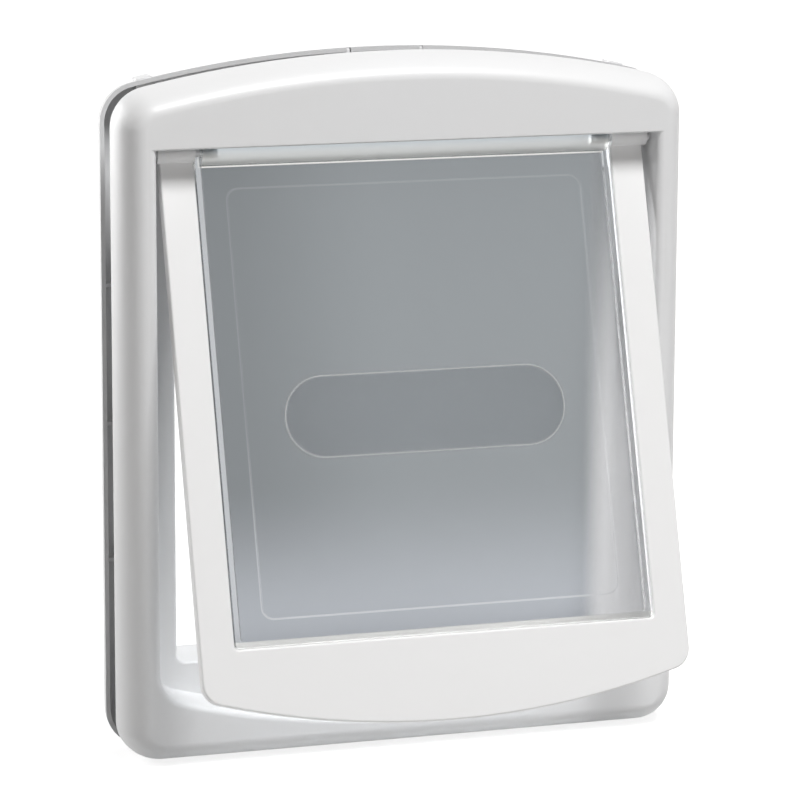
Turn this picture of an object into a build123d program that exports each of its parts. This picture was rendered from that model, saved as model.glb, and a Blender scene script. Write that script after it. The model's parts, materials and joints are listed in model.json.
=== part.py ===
from build123d import *
import os
from math import cos, radians, sin, sqrt

# Two-way pet door clamped through a door leaf, in millimetres.
# The origin is the centre of the way through, in the plane of the leaf's front face.
# +X is to the right seen from the front, +Y runs through the leaf to the rear, +Z is up.

# The way through and the leaf between the two frames
PASSAGE_WIDTH = 232.4
PASSAGE_HEIGHT = 267.0
PASSAGE_CORNER = 4.0
PASSAGE_EDGE_ROUND = 1.6
LEAF_THICKNESS = 20.3

# Moulded walls and the telescoping tunnel
SKIN = 2.2
TUNNEL_WALL = 2.0
TUNNEL_FIT = 0.5
SPIGOT_REACH = 14.0
SLEEVE_START = 4.0

# White flap surround: two side bars and an arched bottom bar
REBATE_OVERLAP = 9.3
SILL_OVERLAP = 27.0
SIDE_BAR = 17.3
BOTTOM_BAR = 42.0
SURROUND_DEPTH = 5.8
SURROUND_ARCH = 438.0
SURROUND_CORNER = 11.0
SURROUND_EDGE_ROUND = 1.0
SURROUND_SKIN = 2.2
WINDOW_CORNER = 2.0
WINDOW_LIP = 3.2
RIB = 1.6
RIB_PITCH = 42.0
OPEN_ANGLE = 17.5

# Seat of the surround in the front frame
REBATE_SETBACK = 4.5
SEAT_GAP = 0.9
RECESS_GAP = 2.5
RECESS_FLARE = 2.0

# Front and rear frames
FRONT_DEPTH = 25.3
REAR_DEPTH = 18.0
FRAME_ARCH = 603.0
FRAME_CORNER = 20.0
LAND = 5.0
EDGE_ROUND = 12.0
REAR_EDGE_ROUND = 10.0
HEADER = 42.8
LIP_ABOVE_AXIS = 3.2
LIP_ROUND = 3.0
HEADER_EDGE_ROUND = 1.0

# Top guide of the rear frame
GUIDE_HALF = 128.0
GUIDE_WALL = 2.0
GUIDE_SETBACK = 1.0
LUG_WIDTH = 8.0
LUG_RISE = 0.8
LUG_DEPTH = 10.0
TAB_WIDTH = 36.0
TAB_THICKNESS = 4.0

# Ribs inside both frames: uprights over and under the opening, rungs beside it
FRAME_RIB = 1.6
RIB_SETBACK = 6.0
UPRIGHT_PITCH = 56.0
RUNG_PITCH = 70.0

# Hinge line
HINGE_DROP = 9.5
HINGE_LEAD = 0.8
SLEEVE_RADIUS = 4.5
SLEEVE_OVERRUN = 1.5
BEAD_RADIUS = 6.7
BEAD_END_GAP = 2.7
PIN_RADIUS = 2.0
PIN_FIT = 0.05
PIN_IN_BEAD = 6.5
BEAD_BORE_SPARE = 2.0
HINGE_BOSS_RADIUS = 5.0
HINGE_BOSS_LENGTH = 5.0
PIN_STUB = 2.0
CLIP_RADIUS = 4.0
CLIP_THICKNESS = 0.8

# Clear flap
FLAP_GAP = 0.7
FLAP_WEB = 2.0
FLAP_RIM_WIDTH = 3.0
FLAP_FRONT_SETBACK = 0.3
FLAP_BACK_SETBACK = 0.3
FLANGE_LAP = 3.0
FLANGE_TOP_DROP = 14.0
PANE_INSET = 16.2
PANE_TOP_DROP = 17.5
PANE_RISE = 0.4
PANE_CORNER = 6.0

# Draught pile strips on the back of the surround
PILE_WIDTH = 5.0
PILE_REBATE_LAP = 0.6
PILE_CLEAR = 0.3
PILE_TOP_DROP = 22.0

# Closing magnet in the surround and its keeper behind the sill
MAGNET_LENGTH = 40.0
MAGNET_HEIGHT = 8.0
MAGNET_FIT = 0.1
MAGNET_WALL = 1.5
MAGNET_DROP = 17.5
KEEPER_THICKNESS = 1.5

# Frame screws
SCREW_SPACING = 200.0
SCREW_RADIUS = 2.0
SCREW_FIT = 0.05
SCREW_BITE = 15.0
SCREW_CLEARANCE = 0.3
BOSS_RADIUS = 4.2
POST_RADIUS = 6.2
HEAD_RADIUS = 4.0
HEAD_HEIGHT = 2.4
HEAD_POCKET_RADIUS = 4.6
HEAD_POCKET_DEPTH = 5.0
CAP_FIT = 0.1
CAP_THICKNESS = 1.8

# Places worked out from the sizes above
passage_half = PASSAGE_WIDTH / 2
passage_top = PASSAGE_HEIGHT / 2
passage_floor = -passage_top
surround_half = passage_half + REBATE_OVERLAP
surround_foot = passage_floor - SILL_OVERLAP
window_half = surround_half - SIDE_BAR
window_floor = surround_foot + BOTTOM_BAR
rebate_y = -REBATE_SETBACK
surround_back = rebate_y - SEAT_GAP
surround_front = surround_back - SURROUND_DEPTH
hinge_y = surround_front - HINGE_LEAD
hinge_z = passage_top - HINGE_DROP
front_y = -FRONT_DEPTH
recess_half = surround_half + RECESS_GAP + RECESS_FLARE
opening_top = hinge_z + LIP_ABOVE_AXIS
frame_half = recess_half + LAND + EDGE_ROUND
frame_floor = surround_foot - RECESS_GAP - RECESS_FLARE - LAND - EDGE_ROUND
frame_apex = opening_top + HEADER
rear_y = LEAF_THICKNESS + REAR_DEPTH
sleeve_half = passage_half + TUNNEL_WALL + TUNNEL_FIT
hinge_axis = Axis((0, hinge_y, hinge_z), (1, 0, 0))


def arch_drop(radius, x):
    """Fall of a circular arch at distance x from its crown."""
    return radius - sqrt(radius**2 - x**2)


def slab(sketch, back, front):
    """Extrude a front-view sketch between two planes across the leaf."""
    return extrude(Plane.XZ.offset(-back) * sketch, amount=back - front)


def arched_face(half, crown, flat, radius, crown_corner, flat_corner):
    """Front-view face with one arched edge, at the crown, and one flat edge."""
    way = 1 if crown > flat else -1
    shoulder = crown - way * arch_drop(radius, half)
    arch = ThreePointArc((half, shoulder), (0, crown), (-half, shoulder))
    sides = Polyline((-half, shoulder), (-half, flat), (half, flat), (half, shoulder))
    face = make_face([arch, sides])
    ends = face.vertices().group_by(Axis.Y)
    crown_ends = ends[-1] if way > 0 else ends[0]
    if flat_corner:
        flat_ends = ends[0] if way > 0 else ends[-1]
        face = fillet(flat_ends, flat_corner)
        ends = face.vertices().group_by(Axis.Y)
        crown_ends = ends[-1] if way > 0 else ends[0]
    return fillet(crown_ends, crown_corner)


def frame_outline(inset):
    """Outline that both frames share, drawn in by an even inset."""
    return arched_face(
        frame_half - inset,
        frame_apex - inset,
        frame_floor + inset,
        FRAME_ARCH - inset,
        max(FRAME_CORNER - inset, SKIN),
        max(FRAME_CORNER - inset, SKIN),
    )


def domed_body(rim, depth, way, inset, edge_round):
    """Frame body that rounds over in a quarter ellipse from its rim to its flat face."""
    sections = []
    for turn in (0, 18, 36, 52, 66, 79, 90):
        drawn_in = inset + edge_round * (1 - cos(radians(turn)))
        y = rim + way * depth * sin(radians(turn))
        sections.append(Plane.XZ.offset(-y) * frame_outline(drawn_in))
    return loft(sections)


def rounded_opening(half, top, floor, corner):
    """Front-view rounded rectangle between a floor and a top."""
    return Pos(0, (top + floor) / 2) * RectangleRounded(2 * half, top - floor, corner)


def recess_outline(gap, top):
    """Outline of the surround's recess, a gap outside the closed surround."""
    return arched_face(
        surround_half + gap,
        surround_foot - gap,
        top,
        SURROUND_ARCH + gap,
        SURROUND_CORNER + gap,
        0,
    )


def recess_body(front, back, extra, top):
    """Tapered recess between two planes, wider at the front."""
    slope = RECESS_FLARE / (rebate_y - front_y)
    gaps = [(y, RECESS_GAP + extra + slope * (rebate_y - y)) for y in (back, front)]
    return loft([Plane.XZ.offset(-y) * recess_outline(gap, top) for y, gap in gaps])


def cross_pin(radius, start, end):
    """Cylinder along the hinge line between two distances from the middle."""
    middle = Pos((start + end) / 2, hinge_y, hinge_z)
    return middle * Rot(0, 90, 0) * Cylinder(radius, abs(end - start))


def through_pin(radius, x, z, front, back):
    """Cylinder across the leaf."""
    return Pos(x, (front + back) / 2, z) * Rot(90, 0, 0) * Cylinder(radius, back - front)


def screw_places():
    """Screw centres, in the middle of the hollows above and below the recess."""
    x = SCREW_SPACING / 2
    recess_floor = surround_foot - RECESS_GAP - RECESS_FLARE - SKIN
    low = (recess_floor + arch_drop(SURROUND_ARCH, x) + frame_floor + EDGE_ROUND) / 2
    high = (passage_top + SKIN + frame_apex - arch_drop(FRAME_ARCH, x) - EDGE_ROUND) / 2
    return [(side * x, z) for side in (-1, 1) for z in (low, high)]


def rib_lines():
    """Front-view pattern of the frames' ribs, counted from the middle and down from the hinge line."""
    upright = Rectangle(FRAME_RIB, 2 * (frame_apex - frame_floor))
    rung = Rectangle(2 * frame_half, FRAME_RIB)
    uprights = [Pos(step * UPRIGHT_PITCH, 0) * upright for step in (-1, 0, 1)]
    rungs = [Pos(0, hinge_z - step * RUNG_PITCH) * rung for step in (1, 2, 3)]
    return uprights + rungs


def front_frame():
    """Front moulding: rounded shell, flap recess, rebate, tunnel spigot and bosses."""
    shell = domed_body(0, FRONT_DEPTH, -1, 0, EDGE_ROUND)
    shell -= domed_body(0, FRONT_DEPTH - SKIN, -1, SKIN, EDGE_ROUND - SKIN / 2)
    rebate_back = rebate_y + SKIN
    tub = recess_body(front_y + SKIN / 2, rebate_back, SKIN, passage_top + SKIN)
    spigot_corner = PASSAGE_CORNER + TUNNEL_WALL
    spigot = slab(
        rounded_opening(
            passage_half + TUNNEL_WALL,
            passage_top + TUNNEL_WALL,
            passage_floor - TUNNEL_WALL,
            spigot_corner,
        ),
        SPIGOT_REACH,
        rebate_y,
    )
    frame = shell + tub + spigot
    filler = domed_body(0, FRONT_DEPTH - SKIN / 2, -1, SKIN / 2, EDGE_ROUND - SKIN / 2)
    for line in rib_lines():
        frame += slab(line, -RIB_SETBACK, front_y) & filler
    for x, z in screw_places():
        frame += through_pin(BOSS_RADIUS, x, z, front_y, 0) & filler
    for side in (-1, 1):
        wall = recess_half
        frame += cross_pin(HINGE_BOSS_RADIUS, side * wall, side * (wall + HINGE_BOSS_LENGTH))
    frame -= recess_body(front_y, rebate_y, 0, opening_top)
    pocket = rounded_opening(surround_half + RECESS_GAP, passage_top, opening_top - LIP_ROUND, SKIN / 2)
    frame -= slab(pocket, rebate_y, front_y + SKIN)
    way_through = rounded_opening(passage_half, passage_top, passage_floor, PASSAGE_CORNER)
    frame -= slab(way_through, SPIGOT_REACH, rebate_y)
    for side in (-1, 1):
        frame -= cross_pin(PIN_RADIUS + PIN_FIT, side * window_half, side * (frame_half - EDGE_ROUND / 2))
    for x, z in screw_places():
        frame -= through_pin(SCREW_RADIUS + SCREW_FIT, x, z, -SCREW_BITE - SCREW_CLEARANCE, 0)
    return soften_front(frame)


def soften_front(frame):
    """Round the recess's front edge, the sill and the header's lower edge."""
    on_face = frame.edges().filter_by_position(Axis.Y, front_y - 0.01, front_y + 0.01)
    reach = recess_half + LAND / 2
    lip = on_face.filter_by(lambda e: abs(e.center().X) < reach and e.center().Z < opening_top - 1)
    lip = lip.filter_by(lambda e: e.center().Z > frame_floor + EDGE_ROUND + LAND / 2)
    frame = fillet(lip, LIP_ROUND)
    on_rebate = frame.edges().filter_by_position(Axis.Y, rebate_y - 0.01, rebate_y + 0.01)
    sill = on_rebate.filter_by(
        lambda e: abs(e.center().X) < passage_half - 1 and passage_floor - 1 < e.center().Z < 0
    )
    frame = fillet(sill, PASSAGE_EDGE_ROUND)
    edge = HEADER_EDGE_ROUND
    corner = Pos(0, front_y + edge / 2, opening_top + edge / 2) * Box(2 * recess_half, edge, edge)
    rounding = Rot(0, 90, 0) * Cylinder(edge, 2 * recess_half)
    return frame - (corner - Pos(0, front_y + edge, opening_top + edge) * rounding)


def rear_frame():
    """Rear moulding: rounded shell, tunnel sleeve, screw posts and top guide."""
    rim = LEAF_THICKNESS
    shell = domed_body(rim, REAR_DEPTH, 1, 0, REAR_EDGE_ROUND)
    hollow = domed_body(rim, REAR_DEPTH - SKIN, 1, SKIN, REAR_EDGE_ROUND - SKIN / 2)
    frame = shell - hollow
    filler = domed_body(rim, REAR_DEPTH - SKIN / 2, 1, SKIN / 2, REAR_EDGE_ROUND - SKIN / 2)
    for line in rib_lines():
        frame += slab(line, rear_y, rim + RIB_SETBACK) & filler
    outer = sleeve_half + TUNNEL_WALL
    grow = outer - passage_half
    sleeve_corner = PASSAGE_CORNER + grow
    sleeve = rounded_opening(outer, passage_top + grow, passage_floor - grow, sleeve_corner)
    frame += slab(sleeve, rear_y, SLEEVE_START)
    guide_top = Pos(0, frame_apex) * Rectangle(2 * GUIDE_HALF, 2 * (frame_apex - passage_top))
    guide_front = rim + GUIDE_SETBACK
    frame += slab(frame_outline(SKIN / 2) & guide_top, guide_front + GUIDE_WALL, guide_front)
    cap_strip = frame_outline(-LUG_RISE) - frame_outline(SKIN)
    for side in (-1, 1):
        lug = Pos(side * (GUIDE_HALF - LUG_WIDTH / 2), passage_top) * Rectangle(LUG_WIDTH, HEADER * 2)
        frame += slab(cap_strip & lug, guide_front + LUG_DEPTH, guide_front)
    tab = Pos(0, frame_apex) * Rectangle(TAB_WIDTH, HEADER)
    tab_strip = frame_outline(0) - frame_outline(TAB_THICKNESS)
    frame += slab(tab_strip & tab, guide_front + GUIDE_WALL, rim)
    for x, z in screw_places():
        frame += through_pin(POST_RADIUS, x, z, rim, rear_y - SKIN / 2)
    fit = sleeve_half - passage_half
    way = rounded_opening(sleeve_half, passage_top + fit, passage_floor - fit, PASSAGE_CORNER + fit)
    frame -= slab(way, rear_y, SLEEVE_START)
    for x, z in screw_places():
        frame -= through_pin(SCREW_RADIUS + SCREW_CLEARANCE, x, z, rim, rear_y)
        frame -= through_pin(HEAD_POCKET_RADIUS, x, z, rear_y - HEAD_POCKET_DEPTH, rear_y)
    on_rear = frame.edges().filter_by_position(Axis.Y, rear_y - 0.01, rear_y + 0.01)
    mouth = on_rear.filter_by(
        lambda e: abs(e.center().X) < sleeve_half + 1
        and abs(e.center().Z) < passage_top + fit + 1
    )
    return fillet(mouth, PASSAGE_EDGE_ROUND)


def flap_surround():
    """White U-shaped moulding, hollow at the back, with a hinge sleeve on each bar."""
    outline = arched_face(
        surround_half, surround_foot, hinge_z, SURROUND_ARCH, SURROUND_CORNER, 0
    )
    window_top = hinge_z + BEAD_RADIUS
    window = rounded_opening(window_half, 2 * window_top - window_floor, window_floor, WINDOW_CORNER)
    body = slab(outline - window, surround_back, surround_front)
    face_edges = body.edges().filter_by_position(Axis.Y, surround_front - 0.01, surround_front + 0.01)
    body = fillet(
        face_edges.filter_by(lambda e: e.center().Z < hinge_z - 1), SURROUND_EDGE_ROUND
    )
    lap_half = window_half + FLANGE_LAP + FLAP_GAP
    lap_floor = window_floor - FLANGE_LAP - FLAP_GAP
    lap = rounded_opening(lap_half, 2 * window_top - lap_floor, lap_floor, WINDOW_CORNER)
    body -= slab(lap, surround_back, surround_front + WINDOW_LIP)
    wall = SURROUND_SKIN
    hollow = arched_face(
        surround_half - wall,
        surround_foot + wall,
        hinge_z - FLANGE_TOP_DROP,
        SURROUND_ARCH - wall,
        SURROUND_CORNER - wall,
        0,
    )
    inner_wall = rounded_opening(
        lap_half + RIB, 2 * window_top - lap_floor, lap_floor - RIB, WINDOW_CORNER + RIB
    )
    hollow_floor = surround_front + SURROUND_SKIN
    hollow = slab(hollow - inner_wall, surround_back, hollow_floor)
    holder = slab(magnet_face(MAGNET_WALL), surround_back, hollow_floor)
    ribs = Pos(0, surround_foot / 2, surround_foot) * Box(RIB, -surround_foot, 2 * pile_clear_height())
    rib_places = [side * RIB_PITCH * step for side in (-1, 1) for step in (1, 2)]
    for x in rib_places:
        hollow -= Pos(x, 0, 0) * ribs
    body -= hollow - holder
    body -= slab(magnet_face(MAGNET_FIT), surround_back, hollow_floor)
    for side in (-1, 1):
        sleeve_end = side * (surround_half + SLEEVE_OVERRUN)
        body += cross_pin(SLEEVE_RADIUS, side * window_half, sleeve_end)
        body -= cross_pin(PIN_RADIUS + PIN_FIT, side * window_half, sleeve_end)
    return body


def pile_clear_height():
    """Height of the bottom bar's ribs above the foot of the arch, under the pile strip."""
    return SILL_OVERLAP - PILE_REBATE_LAP - PILE_WIDTH - RIB


def magnet_face(grow):
    """Front-view face of the closing magnet, grown by a fit or a holder wall."""
    centre = passage_floor - MAGNET_DROP
    return Pos(0, centre) * Rectangle(MAGNET_LENGTH + 2 * grow, MAGNET_HEIGHT + 2 * grow)


def surround_magnet():
    """Bar magnet set in the back of the bottom bar."""
    return slab(magnet_face(0), surround_back, surround_front + SURROUND_SKIN)


def sill_keeper():
    """Steel keeper on the back of the sill, in line with the closed magnet."""
    back = rebate_y + SKIN
    return slab(magnet_face(0), back + KEEPER_THICKNESS, back)


def pile_strips():
    """Draught strips that stand on the surround's back and brush the rebate."""
    base = surround_front + SURROUND_SKIN
    tip = rebate_y - PILE_CLEAR
    top = hinge_z - PILE_TOP_DROP
    floor = passage_floor - PILE_REBATE_LAP
    strips = {}
    for name, side in (("left", -1), ("right", 1)):
        x = side * (passage_half + PILE_REBATE_LAP + PILE_WIDTH / 2)
        face = Pos(x, (top + floor) / 2) * Rectangle(PILE_WIDTH, top - floor)
        strips["pile_strip_" + name] = slab(face, tip, base)
    run = passage_half + PILE_REBATE_LAP
    face = Pos(0, floor - PILE_WIDTH / 2) * Rectangle(2 * run, PILE_WIDTH)
    strips["pile_strip_bottom"] = slab(face, tip, base)
    return strips


def clear_flap():
    """Clear moulded flap: hinge bead, web with a back flange, front rim and raised pane."""
    back = surround_back - FLAP_BACK_SETBACK
    web_front = back - FLAP_WEB
    half = window_half - FLAP_GAP
    floor = window_floor + FLAP_GAP
    top = hinge_z
    web = rounded_opening(half, 2 * top - floor, floor, WINDOW_CORNER)
    below_axis = Pos(0, floor / 2) * Rectangle(4 * half, 2 * top - floor)
    web = web & below_axis
    body = slab(web, back, web_front)
    flange = rounded_opening(
        half + FLANGE_LAP, top - FLANGE_TOP_DROP, floor - FLANGE_LAP, WINDOW_CORNER
    )
    body += slab(flange, back, web_front)
    rim_inner = rounded_opening(
        half - FLAP_RIM_WIDTH, 2 * top - floor, floor + FLAP_RIM_WIDTH, WINDOW_CORNER
    )
    body += slab(web - rim_inner, back, surround_front + FLAP_FRONT_SETBACK)
    pane_half = window_half - PANE_INSET
    pane = rounded_opening(pane_half, top - PANE_TOP_DROP, floor + PANE_INSET - WINDOW_LIP, PANE_CORNER)
    body += slab(pane, back, web_front - PANE_RISE)
    bead_half = window_half - BEAD_END_GAP
    body += cross_pin(BEAD_RADIUS, -bead_half, bead_half)
    for side in (-1, 1):
        bore_end = side * (bead_half - PIN_IN_BEAD - BEAD_BORE_SPARE)
        body -= cross_pin(PIN_RADIUS + PIN_FIT, bore_end, side * window_half)
    return body


def hinge_pin(side):
    """Moulded pivot from the frame's side wall through the sleeve into the bead."""
    start = window_half - BEAD_END_GAP - PIN_IN_BEAD
    end = recess_half + HINGE_BOSS_LENGTH + CLIP_THICKNESS + PIN_STUB
    return cross_pin(PIN_RADIUS, side * start, side * end)


def pin_clip(side):
    """Push-on clip that holds the pivot against its boss."""
    seat = recess_half + HINGE_BOSS_LENGTH
    clip = cross_pin(CLIP_RADIUS, side * seat, side * (seat + CLIP_THICKNESS))
    return clip - cross_pin(PIN_RADIUS + PIN_FIT, side * seat, side * (seat + CLIP_THICKNESS))


def frame_screws():
    """Pan-head screws that draw the rear frame to the front frame's bosses."""
    seat = rear_y - HEAD_POCKET_DEPTH
    screws = []
    for x, z in screw_places():
        shank = through_pin(SCREW_RADIUS, x, z, -SCREW_BITE, seat)
        screws.append(shank + through_pin(HEAD_RADIUS, x, z, seat, seat + HEAD_HEIGHT))
    return Compound(children=screws)


def screw_caps():
    """Caps that close the screw pockets flush with the rear face."""
    radius = HEAD_POCKET_RADIUS - CAP_FIT
    back = rear_y
    return Compound(
        children=[through_pin(radius, x, z, back - CAP_THICKNESS, back) for x, z in screw_places()]
    )


def opened(piece):
    """Swing a piece of the closed flap out about the hinge line."""
    return piece.rotate(hinge_axis, -OPEN_ANGLE)


pieces = {
    "front_frame": front_frame(),
    "rear_frame": rear_frame(),
    "hinge_pin_left": hinge_pin(-1),
    "hinge_pin_right": hinge_pin(1),
    "pin_clip_left": pin_clip(-1),
    "pin_clip_right": pin_clip(1),
    "frame_screws": frame_screws(),
    "screw_caps": screw_caps(),
    "sill_keeper": sill_keeper(),
    "flap_surround": opened(flap_surround()),
    "surround_magnet": opened(surround_magnet()),
    "clear_flap": opened(clear_flap()),
}
for strip_name, strip in pile_strips().items():
    pieces[strip_name] = opened(strip)

os.makedirs("parts", exist_ok=True)
for node, piece in pieces.items():
    export_step(piece, f"parts/{node}.step")
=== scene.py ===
import json
from math import asin, atan2, copysign, cos, pi, radians, sin, sqrt

import bmesh
import bpy
from mathutils import Matrix, Vector


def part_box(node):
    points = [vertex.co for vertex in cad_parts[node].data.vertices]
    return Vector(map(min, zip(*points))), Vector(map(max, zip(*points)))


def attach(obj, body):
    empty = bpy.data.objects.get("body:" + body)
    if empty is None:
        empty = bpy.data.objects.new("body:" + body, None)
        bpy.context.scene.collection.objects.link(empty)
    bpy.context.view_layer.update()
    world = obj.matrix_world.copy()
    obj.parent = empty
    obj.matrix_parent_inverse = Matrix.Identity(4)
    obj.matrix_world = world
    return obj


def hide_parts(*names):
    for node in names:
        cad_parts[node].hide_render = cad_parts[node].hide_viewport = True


# Two-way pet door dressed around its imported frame.
# Sizes are in millimetres, and MM scales them where a mesh, a tone or the camera is placed.
# Lamps and the size of the floor are in metres.

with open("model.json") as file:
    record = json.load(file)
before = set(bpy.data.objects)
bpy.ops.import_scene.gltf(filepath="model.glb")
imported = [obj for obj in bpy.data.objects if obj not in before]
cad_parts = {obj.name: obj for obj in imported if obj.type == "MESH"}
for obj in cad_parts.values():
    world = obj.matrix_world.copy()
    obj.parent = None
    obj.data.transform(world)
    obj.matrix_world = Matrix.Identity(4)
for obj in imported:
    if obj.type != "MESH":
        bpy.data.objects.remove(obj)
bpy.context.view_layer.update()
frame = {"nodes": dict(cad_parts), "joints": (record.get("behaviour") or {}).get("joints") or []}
nodes = frame["nodes"]
MM = 0.001

# Places taken from the frame
front_low, front_high = (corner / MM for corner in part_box("front_frame"))
rear_low, rear_high = (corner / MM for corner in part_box("rear_frame"))
frame_half = front_high.x
frame_floor = front_low.z
frame_apex = front_high.z
front_y = front_low.y
spigot_end = front_high.y
sleeve_start = rear_low.y
rear_y = rear_high.y
hinge = Vector(frame["joints"][0]["pos_m"]) / MM
open_angle = radians(frame["joints"][0]["range_deg"][0])

# Moulded frames
LEAF = 20.3  # gap for the door leaf between the two rims
SKIN = 2.2
FRAME_ARCH = 603.0
FRAME_CORNER = 20.0
FRONT_ROUND = 12.0
REAR_ROUND = 10.0
LIP_ROUND = 3.0
HEADER_ROUND = 1.0
LIP_ABOVE_AXIS = 3.2
HOLD = 0.4  # flat kept beside a rounding, so that it shades cleanly
EDGE_BREAK = 0.3

# The way through and its tunnel
PASSAGE_HALF = 116.2
PASSAGE_TOP = 133.5
PASSAGE_CORNER = 4.0
PASSAGE_ROUND = 1.6
TUNNEL_WALL = 2.0
TUNNEL_FIT = 0.5

# Recess that the closed surround sits in
SURROUND_HALF = 125.5
SURROUND_FOOT = -160.5
SURROUND_ARCH = 438.0
SURROUND_CORNER = 11.0
REBATE_Y = -4.5
RECESS_GAP = 2.5
RECESS_FLARE = 2.0
RECESS_TOP_CORNER = 0.5

# Guide along the top of the rear frame
GUIDE_HALF = 128.0
GUIDE_FRONT = 21.3
GUIDE_WALL = 2.0
LUG_SIZE = (8.0, 10.0, 3.0)
LUG_RISE = 0.8
TAB_HALF = 18.0
TAB_THICKNESS = 4.0
TAB_SINK = 0.1
NOTCH_SIZE = (2.0, 5.0, 8.0)

# Ribs inside both frames
FRAME_RIB = 1.6
RIB_SETBACK = 6.0
UPRIGHT_PITCH = 56.0
RUNG_PITCH = 70.0
RUNGS = 3

# Screws, with their bosses, posts and pockets
SCREW_X = 100.0
SCREW_HIGH = 142.7
SCREW_LOW = -162.8
BOSS_RADIUS = 4.2
POST_RADIUS = 6.2
POCKET_RADIUS = 4.6
POCKET_DEPTH = 5.0

# Bare badge field on the clear flap, measured down the flap from the hinge line
BADGE_HALF = 72.5
BADGE_TOP = 111.7
BADGE_FOOT = 152.3
BADGE_BORDER = 0.7
BADGE_PROUD = 0.35
BADGE_SINK = 0.12

# Raised pane of the clear flap, measured from the hinge line
PANE_HALF = 92.0
PANE_TOP = 17.5
PANE_FOOT = 228.8
PANE_CORNER = 6.0
PANE_FRONT = 3.9

# Tones of the clear flap: its smoke tint, with painted shade, painted light, a painted reflection and painted
# highlights laid over it
SMOKE_DEEP = (0.212, 0.230, 0.242)
# painted shade: the smoke is made darker toward the flap's left side
PAINTED_LEFT_SHADE = (0.157, 0.170, 0.180)
# painted light: the smoke is made paler toward the flap's foot
SMOKE_PAINTED_FOOT_LIGHT = (0.345, 0.365, 0.395)
# painted reflection: a paler, clearer strip down the flap's right side, standing in for a reflection
PAINTED_REFLECTION_STRIP = (0.78, 0.78, 0.79)
CLEAR_SIDE = (0.45, 0.465, 0.485)
CLEAR_FOOT = (0.66, 0.66, 0.645)
# painted highlight along the rounded edge of the raised pane
PAINTED_PANE_HIGHLIGHT = (0.62, 0.63, 0.65)
# painted shading of the hinge bead: bluish shade over it, and creamy painted light on its lower half
BEAD_PAINTED_SHADE = (0.40, 0.44, 0.47)
BEAD_PAINTED_LIGHT = (0.80, 0.79, 0.76)
LAMP_LIGHT_PASSED = (0.84, 0.84, 0.84)

# Where those tones change on the closed flap: across from its middle, down from the hinge line
LEFT_SPAN = (-105.0, -10.0)
LOWER_SPAN = (160.0, 245.0)
STRIP_LEAN = 0.114
STRIP_SPAN = (97.0, 112.0)
STRIP_FADE = (0.0, 170.0)
STRIP_SHARES = (0.25, 1.0)
SIDE_RIM = (103.5, 104.5)
SIDE_FADE = (-50.0, 50.0)
SIDE_SHARES = (0.8, 0.35)
FOOT_RIM = (238.5, 239.5)
BEAD_EDGE = (6.4, 6.9)
BEAD_END = (105.2, 105.6)
BEAD_TURN = (-2.0, 4.0)
BEAD_ROUGHNESS = 0.5
LINE_SPAN = (0.2, 0.7)
LINE_FADE = (120.0, 225.0)
LINE_SHARES = (0.1, 0.4)
FALLING = (1.0, 0.0)

# Plastics
PLASTIC_IOR = 1.5
GRAIN_STRENGTH = 0.35
CLEAR_GRAIN_SIZE = 500.0
CLEAR_GRAIN_DEPTH = 0.001

# White studio
AMBIENT_TINT = (1.0, 0.9, 0.8)
FLOOR_SIZE = 12.0
FLOOR_GREY = (0.55, 0.55, 0.55)
FLOOR_ROUGHNESS = 0.8
FLOOR_FADE = (500.0, 1600.0)
FLOOR_WHITE = (0.8, 1.0)

# Mesh steps and limits
CORNER_STEPS = 12
CROWN_STEPS = 18
SIDE_STEPS = 12
ROUND_STEPS = 14
LIP_STEPS = 8
PEG_SIDES = 40
BREAK_SEGMENTS = 2
BREAK_ANGLE = radians(40)
SMOOTH_ANGLE = radians(28)
WELD = 0.002
FACING_FRONT = -0.9


def end_points(half, crown, arch, corner, way):
    """Right-hand points of one end of an outline, from its side round the corner to its middle."""
    tip = pi / 2
    corner_z = crown - way * corner
    heart = crown - way * arch
    if arch:
        lift = sqrt((arch - corner) ** 2 - (half - corner) ** 2)
        tip = atan2(lift, half - corner)
        corner_z = heart + way * lift
    points = []
    for step in range(CORNER_STEPS + 1):
        turn = tip * step / CORNER_STEPS
        points.append((half - corner + corner * cos(turn), corner_z + way * corner * sin(turn)))
    for step in range(1, CROWN_STEPS + 1):
        turn = tip + (pi / 2 - tip) * step / CROWN_STEPS
        if arch:
            points.append((arch * cos(turn), heart + way * arch * sin(turn)))
        else:
            points.append(((half - corner) * (1 - step / CROWN_STEPS), crown))
    return points


def outline(half, low, high, low_corner, high_corner, low_arch=0.0, high_arch=0.0):
    """Closed front-view outline with rounded corners, whose ends are flat or arched."""
    lower = end_points(half, low, low_arch, low_corner, -1)
    upper = end_points(half, high, high_arch, high_corner, 1)
    rise = (upper[0][1] - lower[0][1]) / SIDE_STEPS
    side = [(half, lower[0][1] + rise * step) for step in range(1, SIDE_STEPS)]
    right = lower[::-1] + side + upper
    left = [(-x, z) for x, z in right[-2:0:-1]]
    return right + left


def frame_outline(inset):
    """Outline that both frames share, drawn in by an even inset."""
    corner = max(FRAME_CORNER - inset, SKIN)
    return outline(
        frame_half - inset,
        frame_floor + inset,
        frame_apex - inset,
        corner,
        corner,
        high_arch=FRAME_ARCH - inset,
    )


def recess_outline(gap, top):
    """Outline a gap outside the closed surround, up to a flat top."""
    return outline(
        SURROUND_HALF + gap,
        SURROUND_FOOT - gap,
        top,
        SURROUND_CORNER + gap,
        RECESS_TOP_CORNER,
        low_arch=SURROUND_ARCH + gap,
    )


def passage_outline(grow, top_grow):
    """Outline of the way through, grown by a wall or a rounding."""
    corner = PASSAGE_CORNER + grow
    return outline(PASSAGE_HALF + grow, -PASSAGE_TOP - grow, PASSAGE_TOP + top_grow, corner, corner)


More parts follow.
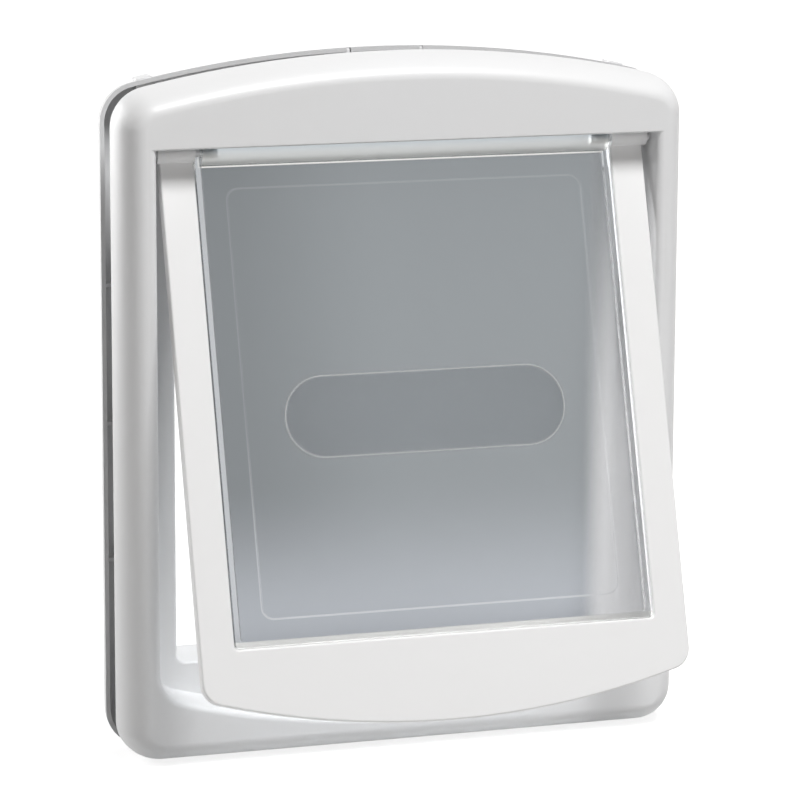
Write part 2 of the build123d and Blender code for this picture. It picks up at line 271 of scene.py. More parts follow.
def station(points, y):
    """Ring of places in the scene's metres, at one depth."""
    return [Vector((x, y, z)) * MM for x, z in points]


def dome(rim, depth, inset, edge_round):
    """Stations over a frame's quarter-ellipse edge, from its rim to its flat face."""
    rings = []
    for step in range(ROUND_STEPS + 1):
        turn = pi / 2 * step / ROUND_STEPS
        drawn_in = inset + edge_round * (1 - cos(turn))
        rings.append(station(frame_outline(drawn_in), rim + depth * sin(turn)))
    return rings


def select_only(*pieces):
    """Leave object mode ready for an operator on these pieces, the first one active."""
    bpy.ops.object.select_all(action="DESELECT")
    for piece in pieces:
        piece.select_set(True)
    bpy.context.view_layer.objects.active = pieces[0] if pieces else None


def ring_start(name, ring, fill):
    """Circle primitive whose points are set on a ring, left in edit mode."""
    select_only()
    bpy.ops.mesh.primitive_circle_add(vertices=len(ring), fill_type=fill)
    piece = bpy.context.object
    piece.name = name
    piece.data.name = name
    for vertex, place in zip(piece.data.vertices, ring):
        vertex.co = place
    bpy.ops.object.mode_set(mode="EDIT")
    bpy.ops.mesh.select_all(action="SELECT")
    return piece


def pulled_through(name, rings):
    """Closed moulding made by pulling one ring of edges through every station and back to the first."""
    piece = ring_start(name, rings[0], "NOTHING")
    mesh = bmesh.from_edit_mesh(piece.data)
    number = mesh.verts.layers.int.new("number")
    for count, vertex in enumerate(mesh.verts):
        vertex[number] = count
    for ring in rings[1:] + rings[:1]:
        bpy.ops.mesh.extrude_edges_move()
        mesh = bmesh.from_edit_mesh(piece.data)
        number = mesh.verts.layers.int["number"]
        for vertex in mesh.verts:
            if vertex.select:
                vertex.co = ring[vertex[number]]
    mesh.verts.layers.int.remove(number)
    bpy.ops.mesh.select_all(action="SELECT")
    bpy.ops.mesh.remove_doubles(threshold=WELD * MM)
    bpy.ops.mesh.normals_make_consistent(inside=False)
    bpy.ops.object.mode_set(mode="OBJECT")
    return piece


def drawn_out(name, ring, reach):
    """Closed piece made by drawing one outlined face out along a line."""
    piece = ring_start(name, ring, "NGON")
    bpy.ops.mesh.extrude_region_move(TRANSFORM_OT_translate={"value": Vector(reach) * MM})
    bpy.ops.mesh.select_all(action="SELECT")
    bpy.ops.mesh.normals_make_consistent(inside=False)
    bpy.ops.object.mode_set(mode="OBJECT")
    return piece


def plate(name, points, front, back):
    """Flat piece in the front view, between two depths."""
    return drawn_out(name, station(points, front), (0, back - front, 0))


def block(name, size, place, tilt=0.0):
    """Box primitive of a size, tilted in the front view about its own middle."""
    select_only()
    bpy.ops.mesh.primitive_cube_add(size=1)
    piece = bpy.context.object
    piece.name = name
    piece.data.transform(Matrix.Diagonal((*size, 1)))
    piece.data.transform(Matrix.Translation(place) @ Matrix.Rotation(tilt, 4, "Y"))
    piece.data.transform(Matrix.Scale(MM, 4))
    return piece


def peg(name, radius, x, z, front, back):
    """Cylinder across the leaf."""
    select_only()
    bpy.ops.mesh.primitive_cylinder_add(vertices=PEG_SIDES, radius=radius, depth=back - front)
    piece = bpy.context.object
    piece.name = name
    piece.data.transform(Matrix.Rotation(pi / 2, 4, "X"))
    piece.data.transform(Matrix.Translation((x, (front + back) / 2, z)))
    piece.data.transform(Matrix.Scale(MM, 4))
    return piece


def break_edges(piece):
    """Round the sharp edges of a piece."""
    select_only(piece)
    rounding = piece.modifiers.new("edges", "BEVEL")
    rounding.width = EDGE_BREAK * MM
    rounding.segments = BREAK_SEGMENTS
    rounding.limit_method = "ANGLE"
    rounding.angle_limit = BREAK_ANGLE
    bpy.ops.object.modifier_apply(modifier=rounding.name)
    return piece


def cut(piece, cutter):
    """Take a cutter's shape out of a piece."""
    select_only(piece)
    taking = piece.modifiers.new("cut", "BOOLEAN")
    taking.object = cutter
    taking.operation = "DIFFERENCE"
    taking.solver = "EXACT"
    bpy.ops.object.modifier_apply(modifier=taking.name)
    bpy.data.objects.remove(cutter)


def joined(piece, extras):
    """Make one mesh of a moulding and what stands on it, shaded smooth between its edges."""
    select_only(piece, *extras)
    bpy.ops.object.join()
    bpy.ops.object.shade_smooth_by_angle(angle=SMOOTH_ANGLE)
    return piece


def screw_places():
    """Centres of the four frame screws in the front view."""
    return [(side * SCREW_X, z) for side in (-1, 1) for z in (SCREW_LOW, SCREW_HIGH)]


def wall_gap(y):
    """Gap between the closed surround and the recess's flared wall at a depth."""
    return RECESS_GAP + RECESS_FLARE * (REBATE_Y - y) / (REBATE_Y - front_y)


def arch_drop(radius, x):
    """Fall of a circular arch at distance x from its crown."""
    return radius - sqrt(radius**2 - x**2)


def rib_section(wall, edge, rim, depth, edge_round):
    """Section of a rib, from a wall out to a frame's rounded skin, as distances out and depths."""
    start = rim + copysign(RIB_SETBACK, depth)
    points = [(wall(start), start), (wall(rim + depth), rim + depth)]
    first = asin(RIB_SETBACK / abs(depth))
    for step in range(LIP_STEPS + 1):
        turn = pi / 2 + (first - pi / 2) * step / LIP_STEPS
        points.append((edge - edge_round * (1 - cos(turn)), rim + depth * sin(turn)))
    return points


def frame_ribs(rim, depth, edge_round, side_wall, top_wall, foot_wall):
    """Rungs beside the way through and uprights over and under it, inside a frame's hollow."""
    ribs = []
    half = FRAME_RIB / 2
    beside = rib_section(side_wall, frame_half - SKIN / 2, rim, depth, edge_round)
    for step in range(1, RUNGS + 1):
        z = hinge.z - step * RUNG_PITCH
        for side in (-1, 1):
            ring = [Vector((side * out, y, z - half)) * MM for out, y in beside]
            ribs.append(drawn_out("rung", ring, (0, 0, FRAME_RIB)))
    for x in (-UPRIGHT_PITCH, 0, UPRIGHT_PITCH):
        crown = frame_apex - SKIN / 2 - arch_drop(FRAME_ARCH, x)
        over = rib_section(lambda y: top_wall, crown, rim, depth, edge_round)
        under = rib_section(lambda y: foot_wall(x, y), -frame_floor - SKIN / 2, rim, depth, edge_round)
        for way, section in ((1, over), (-1, under)):
            ring = [Vector((x - half, y, way * out)) * MM for out, y in section]
            ribs.append(drawn_out("upright", ring, (FRAME_RIB, 0, 0)))
    return ribs


def tube_end(inner, outer, y, way):
    """Stations round the broken edges at a tunnel's end."""
    return [
        station(passage_outline(inner, inner), y + way * EDGE_BREAK),
        station(passage_outline(inner + EDGE_BREAK, inner + EDGE_BREAK), y),
        station(passage_outline(outer - EDGE_BREAK, outer - EDGE_BREAK), y),
        station(passage_outline(outer, outer), y + way * EDGE_BREAK),
    ]


def front_frame_stations():
    """Stations round the front frame's section: over the face, into the tunnel and back inside."""
    opening_top = hinge.z + LIP_ABOVE_AXIS
    rings = dome(0, front_y, 0, FRONT_ROUND)
    rings.append(station(frame_outline(FRONT_ROUND + HOLD), front_y))
    lip = recess_outline(wall_gap(front_y) + LIP_ROUND + HOLD, opening_top + HEADER_ROUND + HOLD)
    rings.append(station(lip, front_y))
    for step in range(LIP_STEPS + 1):
        turn = pi / 2 * step / LIP_STEPS
        y = front_y + LIP_ROUND * (1 - cos(turn))
        spread = 1 - sin(turn)
        points = recess_outline(wall_gap(y) + LIP_ROUND * spread, opening_top + HEADER_ROUND * spread)
        rings.append(station(points, y))
    pocket_front = front_y + LIP_ROUND + HOLD
    pocket_top = PASSAGE_TOP + EDGE_BREAK
    rings.append(station(recess_outline(wall_gap(pocket_front), pocket_top), pocket_front))
    rings.append(station(recess_outline(RECESS_GAP + EDGE_BREAK, pocket_top), REBATE_Y - EDGE_BREAK))
    rings.append(station(recess_outline(RECESS_GAP, pocket_top), REBATE_Y))
    rings.append(station(passage_outline(PASSAGE_ROUND + HOLD, EDGE_BREAK), REBATE_Y))
    for step in range(LIP_STEPS + 1):
        turn = pi / 2 * step / LIP_STEPS
        spread = 1 - sin(turn)
        points = passage_outline(PASSAGE_ROUND * spread, EDGE_BREAK * spread)
        rings.append(station(points, REBATE_Y + PASSAGE_ROUND * (1 - cos(turn))))
    rings += tube_end(0, TUNNEL_WALL, spigot_end, -1)
    rebate_back = REBATE_Y + SKIN
    rings.append(station(passage_outline(TUNNEL_WALL, TUNNEL_WALL), rebate_back))
    rings.append(station(recess_outline(RECESS_GAP + SKIN, PASSAGE_TOP + SKIN), rebate_back))
    skin_back = front_y + SKIN
    rings.append(station(recess_outline(wall_gap(skin_back) + SKIN, PASSAGE_TOP + SKIN), skin_back))
    rings += dome(0, skin_back, SKIN, FRONT_ROUND - SKIN / 2)[::-1]
    return rings


def rear_frame_stations():
    """Stations round the rear frame's section: over the back, into the sleeve and back inside."""
    depth = rear_y - LEAF
    bore = TUNNEL_WALL + TUNNEL_FIT
    rings = dome(LEAF, depth, 0, REAR_ROUND)
    rings.append(station(frame_outline(REAR_ROUND + HOLD), rear_y))
    mouth = bore + PASSAGE_ROUND + HOLD
    rings.append(station(passage_outline(mouth, mouth), rear_y))
    for step in range(LIP_STEPS + 1):
        turn = pi / 2 * step / LIP_STEPS
        grow = bore + PASSAGE_ROUND * (1 - sin(turn))
        rings.append(station(passage_outline(grow, grow), rear_y - PASSAGE_ROUND * (1 - cos(turn))))
    outside = bore + TUNNEL_WALL
    rings += tube_end(bore, outside, sleeve_start, 1)
    rings.append(station(passage_outline(outside, outside), rear_y - SKIN))
    rings += dome(LEAF, depth - SKIN, SKIN, REAR_ROUND - SKIN / 2)[::-1]
    return rings


def front_frame_moulding():
    """Front frame with its ribs and screw bosses."""
    moulding = pulled_through("front_frame_moulding", front_frame_stations())
    ribs = frame_ribs(
        0,
        front_y + SKIN / 2,
        FRONT_ROUND - SKIN / 2,
        lambda y: SURROUND_HALF + wall_gap(y) + SKIN / 2,
        PASSAGE_TOP + SKIN / 2,
        lambda x, y: wall_gap(y) + SKIN / 2 - SURROUND_FOOT - arch_drop(SURROUND_ARCH, x),
    )
    bosses = [
        break_edges(peg("boss", BOSS_RADIUS, x, z, front_y + SKIN / 2, -EDGE_BREAK))
        for x, z in screw_places()
    ]
    return joined(moulding, ribs + bosses)


def guide_lug(side):
    """Small lug at one end of the guide, lying along the arch."""
    lean = asin((GUIDE_HALF - LUG_SIZE[0] / 2) / FRAME_ARCH)
    middle = FRAME_ARCH + LUG_RISE - LUG_SIZE[2] / 2
    height = middle * cos(lean) - FRAME_ARCH + frame_apex
    place = Vector((side * middle * sin(lean), GUIDE_FRONT + LUG_SIZE[1] / 2, height))
    return break_edges(block("lug", LUG_SIZE, place, side * lean))


def rear_frame_moulding():
    """Rear frame with its ribs, screw pockets and posts, and the guide along its top."""
    moulding = pulled_through("rear_frame_moulding", rear_frame_stations())
    for side in (-1, 1):
        beside_tab = (side * (TAB_HALF + NOTCH_SIZE[0] / 2), LEAF, frame_apex)
        cut(moulding, block("notch", NOTCH_SIZE, beside_tab))
    for x, z in screw_places():
        cut(moulding, peg("pocket", POCKET_RADIUS, x, z, rear_y - POCKET_DEPTH, rear_y + POCKET_DEPTH))
    wall_middle = TUNNEL_WALL + TUNNEL_FIT + TUNNEL_WALL / 2
    extras = frame_ribs(
        LEAF,
        rear_y - SKIN / 2 - LEAF,
        REAR_ROUND - SKIN / 2,
        lambda y: PASSAGE_HALF + wall_middle,
        PASSAGE_TOP + wall_middle,
        lambda x, y: PASSAGE_TOP + wall_middle,
    )
    for x, z in screw_places():
        post = peg("post", POST_RADIUS, x, z, LEAF, rear_y - SKIN / 2)
        cut(post, peg("pocket", POCKET_RADIUS, x, z, rear_y - POCKET_DEPTH, rear_y))
        extras.append(break_edges(post))
    guide_top = frame_apex - SKIN / 2
    wall = outline(
        GUIDE_HALF, PASSAGE_TOP, guide_top, EDGE_BREAK, EDGE_BREAK, high_arch=FRAME_ARCH - SKIN / 2
    )
    extras.append(break_edges(plate("guide", wall, GUIDE_FRONT, GUIDE_FRONT + GUIDE_WALL)))
    tab_top = frame_apex - TAB_SINK
    crown = outline(
        TAB_HALF, frame_apex - TAB_THICKNESS, tab_top, EDGE_BREAK, EDGE_BREAK, high_arch=FRAME_ARCH - TAB_SINK
    )
    tab = plate("tab", crown, LEAF + TAB_SINK, GUIDE_FRONT + GUIDE_WALL)
    extras.append(break_edges(tab))
    extras += [guide_lug(side) for side in (-1, 1)]
    return joined(moulding, extras)


def badge_field():
    """Bare plate on the clear flap, with a fine raised border round a sunken field."""
    corner = (BADGE_FOOT - BADGE_TOP) / 2 - HOLD
    points = outline(BADGE_HALF, hinge.z - BADGE_FOOT, hinge.z - BADGE_TOP, corner, corner)
    back = hinge.y + PANE_FRONT
    field = plate("badge_field", points, back - BADGE_PROUD, back)
    select_only(field)
    bpy.ops.object.mode_set(mode="EDIT")
    bpy.ops.mesh.select_mode(type="FACE")
    bpy.ops.mesh.select_all(action="DESELECT")
    mesh = bmesh.from_edit_mesh(field.data)
    for face in mesh.faces:
        face.select_set(face.normal.y < FACING_FRONT)
    bpy.ops.mesh.inset(thickness=BADGE_BORDER * MM, depth=0)
    mesh = bmesh.from_edit_mesh(field.data)
    for face in mesh.faces:
        face.material_index = int(face.normal.y < FACING_FRONT and not face.select)
    bpy.ops.mesh.inset(thickness=BADGE_SINK * MM, depth=-BADGE_SINK * MM)
    bpy.ops.object.mode_set(mode="OBJECT")
    swing = Matrix.Translation(hinge * MM) @ Matrix.Rotation(open_angle, 4, "X")
    field.data.transform(swing @ Matrix.Translation(-hinge * MM))
    return joined(field, [])


def shader_node(tree, kind, inputs=(), **settings):
    """Add a shader node with its settings and its unlinked inputs."""
    made = tree.nodes.new(kind)
    for name, value in settings.items():
        setattr(made, name, value)
    for name, value in dict(inputs).items():
        made.inputs[name].default_value = value
    return made


def moulded_surface_group():
    """Shared effect of moulded plastic: faint cloudy tone, uneven gloss and a fine tool grain."""
    tree = bpy.data.node_groups.new("moulded_surface", "ShaderNodeTree")
    for name in ("Colour", "Cloud Colour"):
        tree.interface.new_socket(name, in_out="INPUT", socket_type="NodeSocketColor")
    for name in ("Gloss Low", "Gloss High", "Grain Size"):
        tree.interface.new_socket(name, in_out="INPUT", socket_type="NodeSocketFloat")
    tree.interface.new_socket("Colour", in_out="OUTPUT", socket_type="NodeSocketColor")
    tree.interface.new_socket("Roughness", in_out="OUTPUT", socket_type="NodeSocketFloat")
    tree.interface.new_socket("Height", in_out="OUTPUT", socket_type="NodeSocketFloat")
    given = tree.nodes.new("NodeGroupInput")
    result = tree.nodes.new("NodeGroupOutput")
    place = tree.nodes.new("ShaderNodeTexCoord")
    clouds = shader_node(tree, "ShaderNodeTexNoise", {"Scale": 9.0, "Detail": 3.0, "Roughness": 0.5})
    gloss = shader_node(tree, "ShaderNodeTexNoise", {"Scale": 34.0, "Detail": 4.0, "Roughness": 0.6})
    grain = shader_node(tree, "ShaderNodeTexNoise", {"Detail": 2.0, "Roughness": 0.55})
    tone = shader_node(tree, "ShaderNodeMix", data_type="RGBA")
    spread = tree.nodes.new("ShaderNodeMapRange")
    wire = tree.links.new
    for texture in (clouds, gloss, grain):
        wire(place.outputs["Object"], texture.inputs["Vector"])
    wire(given.outputs["Grain Size"], grain.inputs["Scale"])
    wire(clouds.outputs["Fac"], tone.inputs["Factor"])
    wire(given.outputs["Colour"], tone.inputs["A"])
    wire(given.outputs["Cloud Colour"], tone.inputs["B"])
    wire(gloss.outputs["Fac"], spread.inputs["Value"])
    wire(given.outputs["Gloss Low"], spread.inputs["To Min"])
    wire(given.outputs["Gloss High"], spread.inputs["To Max"])
    wire(tone.outputs["Result"], result.inputs["Colour"])
    wire(spread.outputs["Result"], result.inputs["Roughness"])
    wire(grain.outputs["Fac"], result.inputs["Height"])
    return tree


def material(name):
    """New material with a Principled shader, its tree and that shader."""
    made = bpy.data.materials.new(name)
    made.use_nodes = True
    return made, made.node_tree, made.node_tree.nodes["Principled BSDF"]


def moulded_plastic(name, colour, cloud, gloss, grain_size, grain_depth):
    """Plastic whose tone, gloss and grain come from the shared moulded surface."""
    made, tree, shader = material(name)
    look = {
        "Colour": (*colour, 1),
        "Cloud Colour": (*cloud, 1),
        "Gloss Low": gloss[0],
        "Gloss High": gloss[1],
        "Grain Size": grain_size,
    }
    surface = shader_node(tree, "ShaderNodeGroup", look, node_tree=bpy.data.node_groups["moulded_surface"])
    grain = {"Strength": GRAIN_STRENGTH, "Distance": grain_depth * MM}
    relief = shader_node(tree, "ShaderNodeBump", grain)
    wire = tree.links.new
    wire(surface.outputs["Colour"], shader.inputs["Base Color"])
    wire(surface.outputs["Roughness"], shader.inputs["Roughness"])
    wire(surface.outputs["Height"], relief.inputs["Height"])
    wire(relief.outputs["Normal"], shader.inputs["Normal"])
    shader.inputs["IOR"].default_value = PLASTIC_IOR
    return made


def clear_plastic(name, colour, cloud, gloss):
    """Clear plastic that blurs what lies behind it and lets most of the lamps' light through to it."""
    made = moulded_plastic(name, colour, cloud, gloss, CLEAR_GRAIN_SIZE, CLEAR_GRAIN_DEPTH)
    tree = made.node_tree
    shader = tree.nodes["Principled BSDF"]
    shader.inputs["Transmission Weight"].default_value = 1.0
    path = tree.nodes.new("ShaderNodeLightPath")
    passing = shader_node(tree, "ShaderNodeBsdfTransparent", {"Color": (*LAMP_LIGHT_PASSED, 1)})
    choice = tree.nodes.new("ShaderNodeMixShader")
    wire = tree.links.new
    wire(path.outputs["Is Shadow Ray"], choice.inputs["Fac"])
    wire(shader.outputs["BSDF"], choice.inputs[1])
    wire(passing.outputs["BSDF"], choice.inputs[2])
    wire(choice.outputs["Shader"], tree.nodes["Material Output"].inputs["Surface"])
    return made


def ramp(tree, value, span, shares=(0.0, 1.0)):
    """Smooth step from one share to another while a distance runs over a span."""
    limits = {
        "From Min": span[0] * MM,
        "From Max": span[1] * MM,
        "To Min": shares[0],
        "To Max": shares[1],
    }
    step = shader_node(tree, "ShaderNodeMapRange", limits, interpolation_type="SMOOTHSTEP")
    tree.links.new(value, step.inputs["Value"])
    return step.outputs["Result"]


def tone_over(tree, under, colour, share):
    """Lay a colour over another by a share."""
    mix = shader_node(tree, "ShaderNodeMix", data_type="RGBA")
    mix.inputs["B"].default_value = (*colour, 1)
    tree.links.new(under, mix.inputs["A"])
    tree.links.new(share, mix.inputs["Factor"])
    return mix.outputs["Result"]


def math_of(tree, operation, *values):
    """Result of a math node on sockets and numbers."""
    made = shader_node(tree, "ShaderNodeMath", operation=operation)
    for socket, value in zip(made.inputs, values):
        if isinstance(value, (int, float)):
            socket.default_value = value
        else:
            tree.links.new(value, socket)
    return made.outputs["Value"]


def painted_pane_highlight(tree, aside, down):
    """Share of a painted highlight along the rounded edge of the flap's raised pane, where the light is
    caught.
    """
    middle = (PANE_TOP + PANE_FOOT) / 2 * MM
    reach = (PANE_FOOT - PANE_TOP) / 2 - PANE_CORNER
    out = math_of(tree, "SUBTRACT", aside, (PANE_HALF - PANE_CORNER) * MM)
    away = math_of(tree, "ABSOLUTE", math_of(tree, "SUBTRACT", down, middle))
    along = math_of(tree, "SUBTRACT", away, reach * MM)
    corner = shader_node(tree, "ShaderNodeCombineXYZ")
    tree.links.new(math_of(tree, "MAXIMUM", out, 0.0), corner.inputs["X"])
    tree.links.new(math_of(tree, "MAXIMUM", along, 0.0), corner.inputs["Y"])
    length = shader_node(tree, "ShaderNodeVectorMath", operation="LENGTH")
    tree.links.new(corner.outputs["Vector"], length.inputs[0])
    off = math_of(tree, "SUBTRACT", length.outputs["Value"], PANE_CORNER * MM)
    line = ramp(tree, math_of(tree, "ABSOLUTE", off), LINE_SPAN, FALLING)
    return math_of(tree, "MULTIPLY", line, ramp(tree, down, LINE_FADE, LINE_SHARES))


def smoke_flap_plastic_with_painted_light():
    """Smoke plastic of the flap with painted light: deep at the left as painted shade, paler to the foot as
    painted light, palest at the right as a painted reflection, with a painted highlight on the pane's edge
    and painted shading in the bead.
    """
    made = clear_plastic("smoke_flap_plastic_with_painted_light", colour=SMOKE_DEEP, cloud=SMOKE_DEEP, gloss=(0.22, 0.27))
    tree = made.node_tree
    shader = tree.nodes["Principled BSDF"]
    moulded = shader.inputs["Base Color"].links[0].from_socket
    gloss = shader.inputs["Roughness"].links[0].from_socket
    place = tree.nodes.new("ShaderNodeTexCoord")
    closed = shader_node(tree, "ShaderNodeMapping", vector_type="TEXTURE")
    closed.inputs["Location"].default_value = hinge * MM
    closed.inputs["Rotation"].default_value = (open_angle, 0, 0)
    axes = tree.nodes.new("ShaderNodeSeparateXYZ")
    wire = tree.links.new
    wire(place.outputs["Object"], closed.inputs["Vector"])
    wire(closed.outputs["Vector"], axes.inputs["Vector"])

    def both(first, second):
        """Product of two shares."""
        return math_of(tree, "MULTIPLY", first, second)

    across = axes.outputs["X"]
    down = math_of(tree, "MULTIPLY", axes.outputs["Z"], -1.0)
    aside = math_of(tree, "ABSOLUTE", across)
    leaning = math_of(tree, "ADD", across, both(down, STRIP_LEAN))
    bead = both(ramp(tree, down, BEAD_EDGE, FALLING), ramp(tree, aside, BEAD_END, FALLING))
    tone = moulded
    for colour, share in (
        # painted shade, darker toward the left
        (PAINTED_LEFT_SHADE, ramp(tree, across, LEFT_SPAN, FALLING)),
        # painted light, paler toward the foot
        (SMOKE_PAINTED_FOOT_LIGHT, ramp(tree, down, LOWER_SPAN)),
        # painted reflection strip at the right, fading in toward the foot
        (PAINTED_REFLECTION_STRIP, both(ramp(tree, leaning, STRIP_SPAN), ramp(tree, down, STRIP_FADE, STRIP_SHARES))),
        # painted highlight on the pane's edge
        (PAINTED_PANE_HIGHLIGHT, painted_pane_highlight(tree, aside, down)),
        (CLEAR_SIDE, both(ramp(tree, aside, SIDE_RIM), ramp(tree, across, SIDE_FADE, SIDE_SHARES))),
        (CLEAR_FOOT, ramp(tree, down, FOOT_RIM)),
        # painted shade on the bead, then painted light on its lower half
        (BEAD_PAINTED_SHADE, bead),
        (BEAD_PAINTED_LIGHT, both(bead, ramp(tree, down, BEAD_TURN))),
    ):
        tone = tone_over(tree, tone, colour, share)
    wire(tone, shader.inputs["Base Color"])
    wire(math_of(tree, "MAXIMUM", gloss, both(bead, BEAD_ROUGHNESS)), shader.inputs["Roughness"])
    return made


def pivot_steel():
    """Drawn steel of the screws, the pivots' clips and the keeper."""
    made, tree, shader = material("pivot_steel")
    place = tree.nodes.new("ShaderNodeTexCoord")
    along = shader_node(tree, "ShaderNodeMapping", {"Scale": (40.0, 900.0, 900.0)})
    drawn = shader_node(tree, "ShaderNodeTexNoise", {"Scale": 1.0, "Detail": 3.0})
    gloss = shader_node(tree, "ShaderNodeMapRange", {"To Min": 0.22, "To Max": 0.42})
    tone = shader_node(tree, "ShaderNodeMix", data_type="RGBA")
    tone.inputs["A"].default_value = (0.55, 0.55, 0.56, 1)
    tone.inputs["B"].default_value = (0.66, 0.66, 0.67, 1)
    wire = tree.links.new
    wire(place.outputs["Object"], along.inputs["Vector"])
    wire(along.outputs["Vector"], drawn.inputs["Vector"])
    wire(drawn.outputs["Fac"], gloss.inputs["Value"])
    wire(drawn.outputs["Fac"], tone.inputs["Factor"])
    wire(tone.outputs["Result"], shader.inputs["Base Color"])
    wire(gloss.outputs["Result"], shader.inputs["Roughness"])
    shader.inputs["Metallic"].default_value = 1.0
    return made


def draught_pile():
    """Grey pile whose fibres stand out from the surround."""
    made, tree, shader = material("draught_pile")
    place = tree.nodes.new("ShaderNodeTexCoord")
    upright = shader_node(tree, "ShaderNodeMapping", {"Scale": (2600.0, 180.0, 2600.0)})
    fibre = shader_node(tree, "ShaderNodeTexNoise", {"Scale": 1.0, "Detail": 4.0, "Roughness": 0.65})
    tone = tree.nodes.new("ShaderNodeValToRGB")
    tone.color_ramp.elements[0].color = (0.22, 0.22, 0.225, 1)
    tone.color_ramp.elements[1].color = (0.56, 0.56, 0.56, 1)
    relief = shader_node(tree, "ShaderNodeBump", {"Strength": 0.8, "Distance": 0.3 * MM})
    wire = tree.links.new
    wire(place.outputs["Object"], upright.inputs["Vector"])
    wire(upright.outputs["Vector"], fibre.inputs["Vector"])
    wire(fibre.outputs["Fac"], tone.inputs["Fac"])
    wire(fibre.outputs["Fac"], relief.inputs["Height"])
    wire(tone.outputs["Color"], shader.inputs["Base Color"])
    wire(relief.outputs["Normal"], shader.inputs["Normal"])
    shader.inputs["Roughness"].default_value = 0.95
    shader.inputs["Sheen Weight"].default_value = 0.4
    return made


def finish_with(piece, made):
    """Give a piece or a CAD node its material."""
    piece.data.materials.clear()
    piece.data.materials.append(made)


def white_when_seen(tree):
    """1 for rays from the camera, a reflection or a clear piece, and 0 for light."""
    ray = tree.nodes.new("ShaderNodeLightPath").outputs
    bent = math_of(tree, "MAXIMUM", ray["Is Glossy Ray"], ray["Is Transmission Ray"])
    return math_of(tree, "MAXIMUM", ray["Is Camera Ray"], bent)


def white_studio(ambient):
    """World that is white to look at and lights the object with a faint warm fill."""
    world = bpy.data.worlds.new("white_studio")
    bpy.context.scene.world = world
    world.use_nodes = True
    tree = world.node_tree
    lit = tree.nodes["Background"]
    lit.inputs["Color"].default_value = (*AMBIENT_TINT, 1)
    lit.inputs["Strength"].default_value = ambient
    white = shader_node(tree, "ShaderNodeBackground", {"Color": (1, 1, 1, 1), "Strength": 1.0})
    choice = tree.nodes.new("ShaderNodeMixShader")
    tree.links.new(white_when_seen(tree), choice.inputs["Fac"])
    tree.links.new(lit.outputs["Background"], choice.inputs[1])
    tree.links.new(white.outputs["Background"], choice.inputs[2])
    tree.links.new(choice.outputs["Shader"], tree.nodes["World Output"].inputs["Surface"])


def pale_floor():
    """Floor that looks white and keeps a faint shadow of the object."""
    select_only()
    bpy.ops.mesh.primitive_plane_add(size=FLOOR_SIZE, location=(0, 0, frame_floor * MM))
    floor = bpy.context.object
    floor.name = "floor"
    made, tree, shader = material("pale_floor")
    shader.inputs["Base Color"].default_value = (*FLOOR_GREY, 1)
    shader.inputs["Roughness"].default_value = FLOOR_ROUGHNESS
    glow = shader_node(tree, "ShaderNodeEmission", {"Color": (1, 1, 1, 1)})
    place = tree.nodes.new("ShaderNodeTexCoord")
    away = shader_node(tree, "ShaderNodeVectorMath", operation="LENGTH")
    total = tree.nodes.new("ShaderNodeAddShader")
    tree.links.new(place.outputs["Object"], away.inputs[0])
    white = ramp(tree, away.outputs["Value"], FLOOR_FADE, FLOOR_WHITE)
    tree.links.new(math_of(tree, "MULTIPLY", white_when_seen(tree), white), glow.inputs["Strength"])
    tree.links.new(shader.outputs["BSDF"], total.inputs[0])
    tree.links.new(glow.outputs["Emission"], total.inputs[1])
    tree.links.new(total.outputs["Shader"], tree.nodes["Material Output"].inputs["Surface"])
    floor.data.materials.append(made)


def soft_lamp(name, place, size, power):
    """Square studio lamp aimed at the middle of the object."""
    data = bpy.data.lights.new(name, "AREA")
    data.shape = "SQUARE"
    data.size = size
    data.energy = power
    lamp = bpy.data.objects.new(name, data)
    bpy.context.scene.collection.objects.link(lamp)
    lamp.location = place
    lamp.rotation_euler = (-Vector(place)).to_track_quat("-Z", "Y").to_euler()


def photo_camera():
    """Camera at the photograph's view of the door."""
    yaw, rise, roll = radians(17.947), radians(11.255), radians(0.24)
    distance = 1968.9
    aim = Vector((1.925, 0, -7.09))
    focal_pixels = 3901.4
    image_pixels = 800
    back = Vector((-sin(yaw) * cos(rise), -cos(yaw) * cos(rise), sin(rise)))
    level = Vector((cos(yaw), -sin(yaw), 0))
    upright = back.cross(level)
    right = level * cos(roll) + upright * sin(roll)
    up = upright * cos(roll) - level * sin(roll)
    data = bpy.data.cameras.new("photo_camera")
    data.sensor_width = 36.0
    data.lens = data.sensor_width * focal_pixels / image_pixels
    data.clip_end = 50.0
    camera = bpy.data.objects.new("photo_camera", data)
    bpy.context.scene.collection.objects.link(camera)
    turn = Matrix((right, up, back)).transposed().to_4x4()
    camera.matrix_world = Matrix.Translation((aim + back * distance) * MM) @ turn
    bpy.context.scene.camera = camera


# Pieces
front_piece = front_frame_moulding()
rear_piece = rear_frame_moulding()
badge_piece = badge_field()
for piece, body, node, slot in (
    (front_piece, "frame", "front_frame", "white_plastic"),
    (rear_piece, "frame", "rear_frame", "white_plastic"),
    (badge_piece, "clear_flap", None, "clear_plastic"),
):
    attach(piece, body)
    if node:
        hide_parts(node)

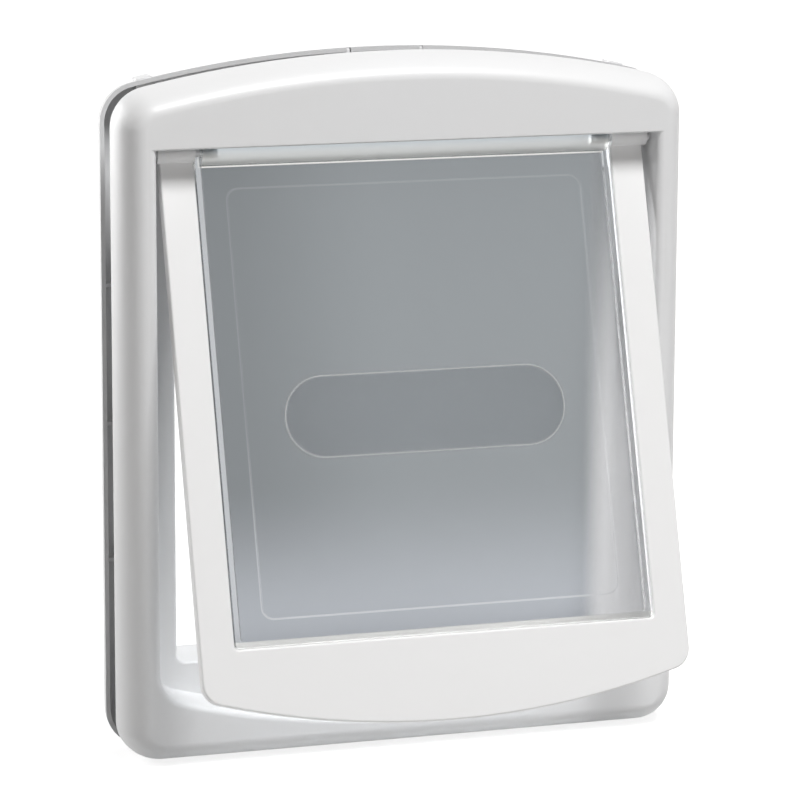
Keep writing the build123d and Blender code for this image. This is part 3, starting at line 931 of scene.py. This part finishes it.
# Finishes
moulded_surface_group()
frame_plastic = moulded_plastic(
    "white_frame_plastic",
    colour=(0.82, 0.825, 0.835),
    cloud=(0.805, 0.807, 0.81),
    gloss=(0.34, 0.44),
    grain_size=1100.0,
    grain_depth=0.02,
)
surround_plastic = moulded_plastic(
    "white_surround_plastic",
    colour=(0.91, 0.911, 0.914),
    cloud=(0.895, 0.895, 0.895),
    gloss=(0.30, 0.38),
    grain_size=1300.0,
    grain_depth=0.015,
)
flap_plastic = smoke_flap_plastic_with_painted_light()
badge_plastic = clear_plastic(
    "badge_clear_plastic",
    colour=(0.72, 0.74, 0.76),
    cloud=(0.70, 0.72, 0.74),
    gloss=(0.42, 0.5),
)
badge_edge = moulded_plastic(
    "badge_edge_plastic",
    colour=(0.46, 0.47, 0.48),
    cloud=(0.43, 0.44, 0.45),
    gloss=(0.35, 0.45),
    grain_size=900.0,
    grain_depth=0.01,
)
steel = pivot_steel()
magnet = moulded_plastic(
    "dark_magnet",
    colour=(0.06, 0.06, 0.065),
    cloud=(0.09, 0.088, 0.086),
    gloss=(0.45, 0.6),
    grain_size=1600.0,
    grain_depth=0.05,
)
pile = draught_pile()
node_finish = {
    "front_frame": frame_plastic,
    "rear_frame": frame_plastic,
    "screw_caps": frame_plastic,
    "hinge_pin_left": frame_plastic,
    "hinge_pin_right": frame_plastic,
    "flap_surround": surround_plastic,
    "clear_flap": flap_plastic,
    "surround_magnet": magnet,
    "pile_strip_left": pile,
    "pile_strip_right": pile,
    "pile_strip_bottom": pile,
}
for name, node in nodes.items():
    finish_with(node, node_finish.get(name, steel))
finish_with(front_piece, frame_plastic)
finish_with(rear_piece, frame_plastic)
for made in (badge_plastic, badge_edge):
    badge_piece.data.materials.append(made)

# Studio
bpy.context.scene.view_settings.view_transform = "Standard"
white_studio(ambient=0.08)
pale_floor()
soft_lamp("front_high", place=(0.3, -1.13, 2.33), size=0.7, power=63.0)
soft_lamp("front_right", place=(1.2, -2.0, 0.6), size=1.0, power=2.2)
soft_lamp("front_low", place=(0.4, -0.45, -0.16), size=0.3, power=0.1)
soft_lamp("back_left", place=(-1.0, 1.3, 0.3), size=0.9, power=16.0)
photo_camera()
